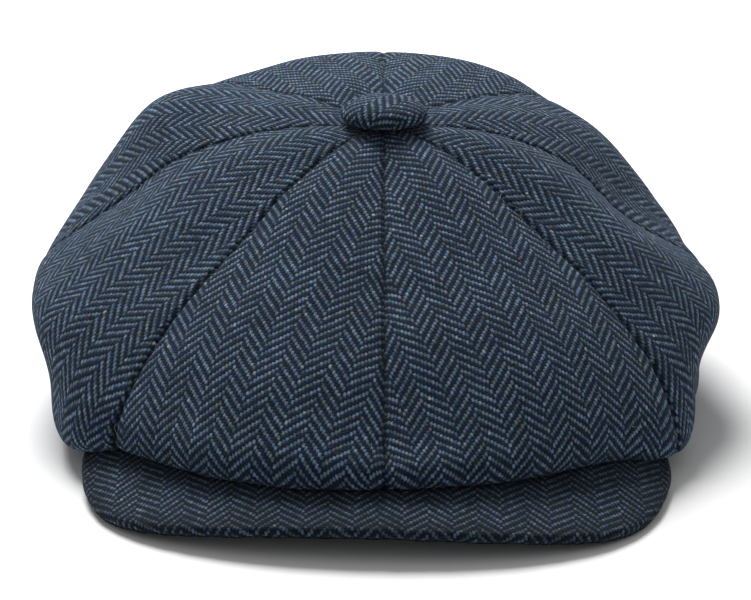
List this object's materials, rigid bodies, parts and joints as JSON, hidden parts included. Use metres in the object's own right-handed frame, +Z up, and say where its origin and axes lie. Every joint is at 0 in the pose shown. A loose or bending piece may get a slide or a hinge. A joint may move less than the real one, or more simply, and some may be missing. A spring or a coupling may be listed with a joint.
{
  "type": "newsboy cap",
  "caption": "Newsboy cap of herringbone tweed: panelled crown with a covered button, satin lining, sweatband and a stiff peak that snaps to the crown.",
  "frame": {"origin": "middle of the head opening, on the surface that the cap lies on", "axes": "+Z up through the crown, -Y forwards over the peak, +X to the right in a front view"},
  "size_m": [0.2487, 0.3029, 0.1075],
  "materials": {
    "herringbone_tweed": "woven wool herringbone, navy and blue-grey",
    "satin_lining": "smooth dark satin",
    "sweatband_leather": "smooth matte",
    "cotton_tape": "plain woven, unbleached",
    "tinned_metal": "pressed and tinned",
    "peak_board_plastic": "matte sheet",
    "snap_metal": "black oxide on brass"
  },
  "bodies": {
    "crown": {"front_right_panel": "herringbone_tweed", "side_front_right_panel": "herringbone_tweed", "side_back_right_panel": "herringbone_tweed", "back_right_panel": "herringbone_tweed", "back_left_panel": "herringbone_tweed", "side_back_left_panel": "herringbone_tweed", "side_front_left_panel": "herringbone_tweed", "front_left_panel": "herringbone_tweed", "front_right_lining": "satin_lining", "side_front_right_lining": "satin_lining", "side_back_right_lining": "satin_lining", "back_right_lining": "satin_lining", "back_left_lining": "satin_lining", "side_back_left_lining": "satin_lining", "side_front_left_lining": "satin_lining", "front_left_lining": "satin_lining", "sweatband": "sweatband_leather", "head_tape": "cotton_tape", "headband_cloth": "herringbone_tweed", "button_cloth": "herringbone_tweed", "button_shell": "tinned_metal", "button_back_plate": "tinned_metal", "button_shank": "tinned_metal", "inner_washer": "tinned_metal", "snap_socket": "snap_metal"},
    "peak": {"peak_under_cover": "herringbone_tweed", "peak_board": "peak_board_plastic", "peak_top_cover": "herringbone_tweed", "snap_stud": "snap_metal"}
  },
  "joints": [
    {"name": "peak_tilt", "type": "hinge", "parent": "crown", "child": "peak", "pos_m": [0, -0.06, 0.0155], "axis": [1, 0, 0], "range_deg": [0, 15]}
  ]
}
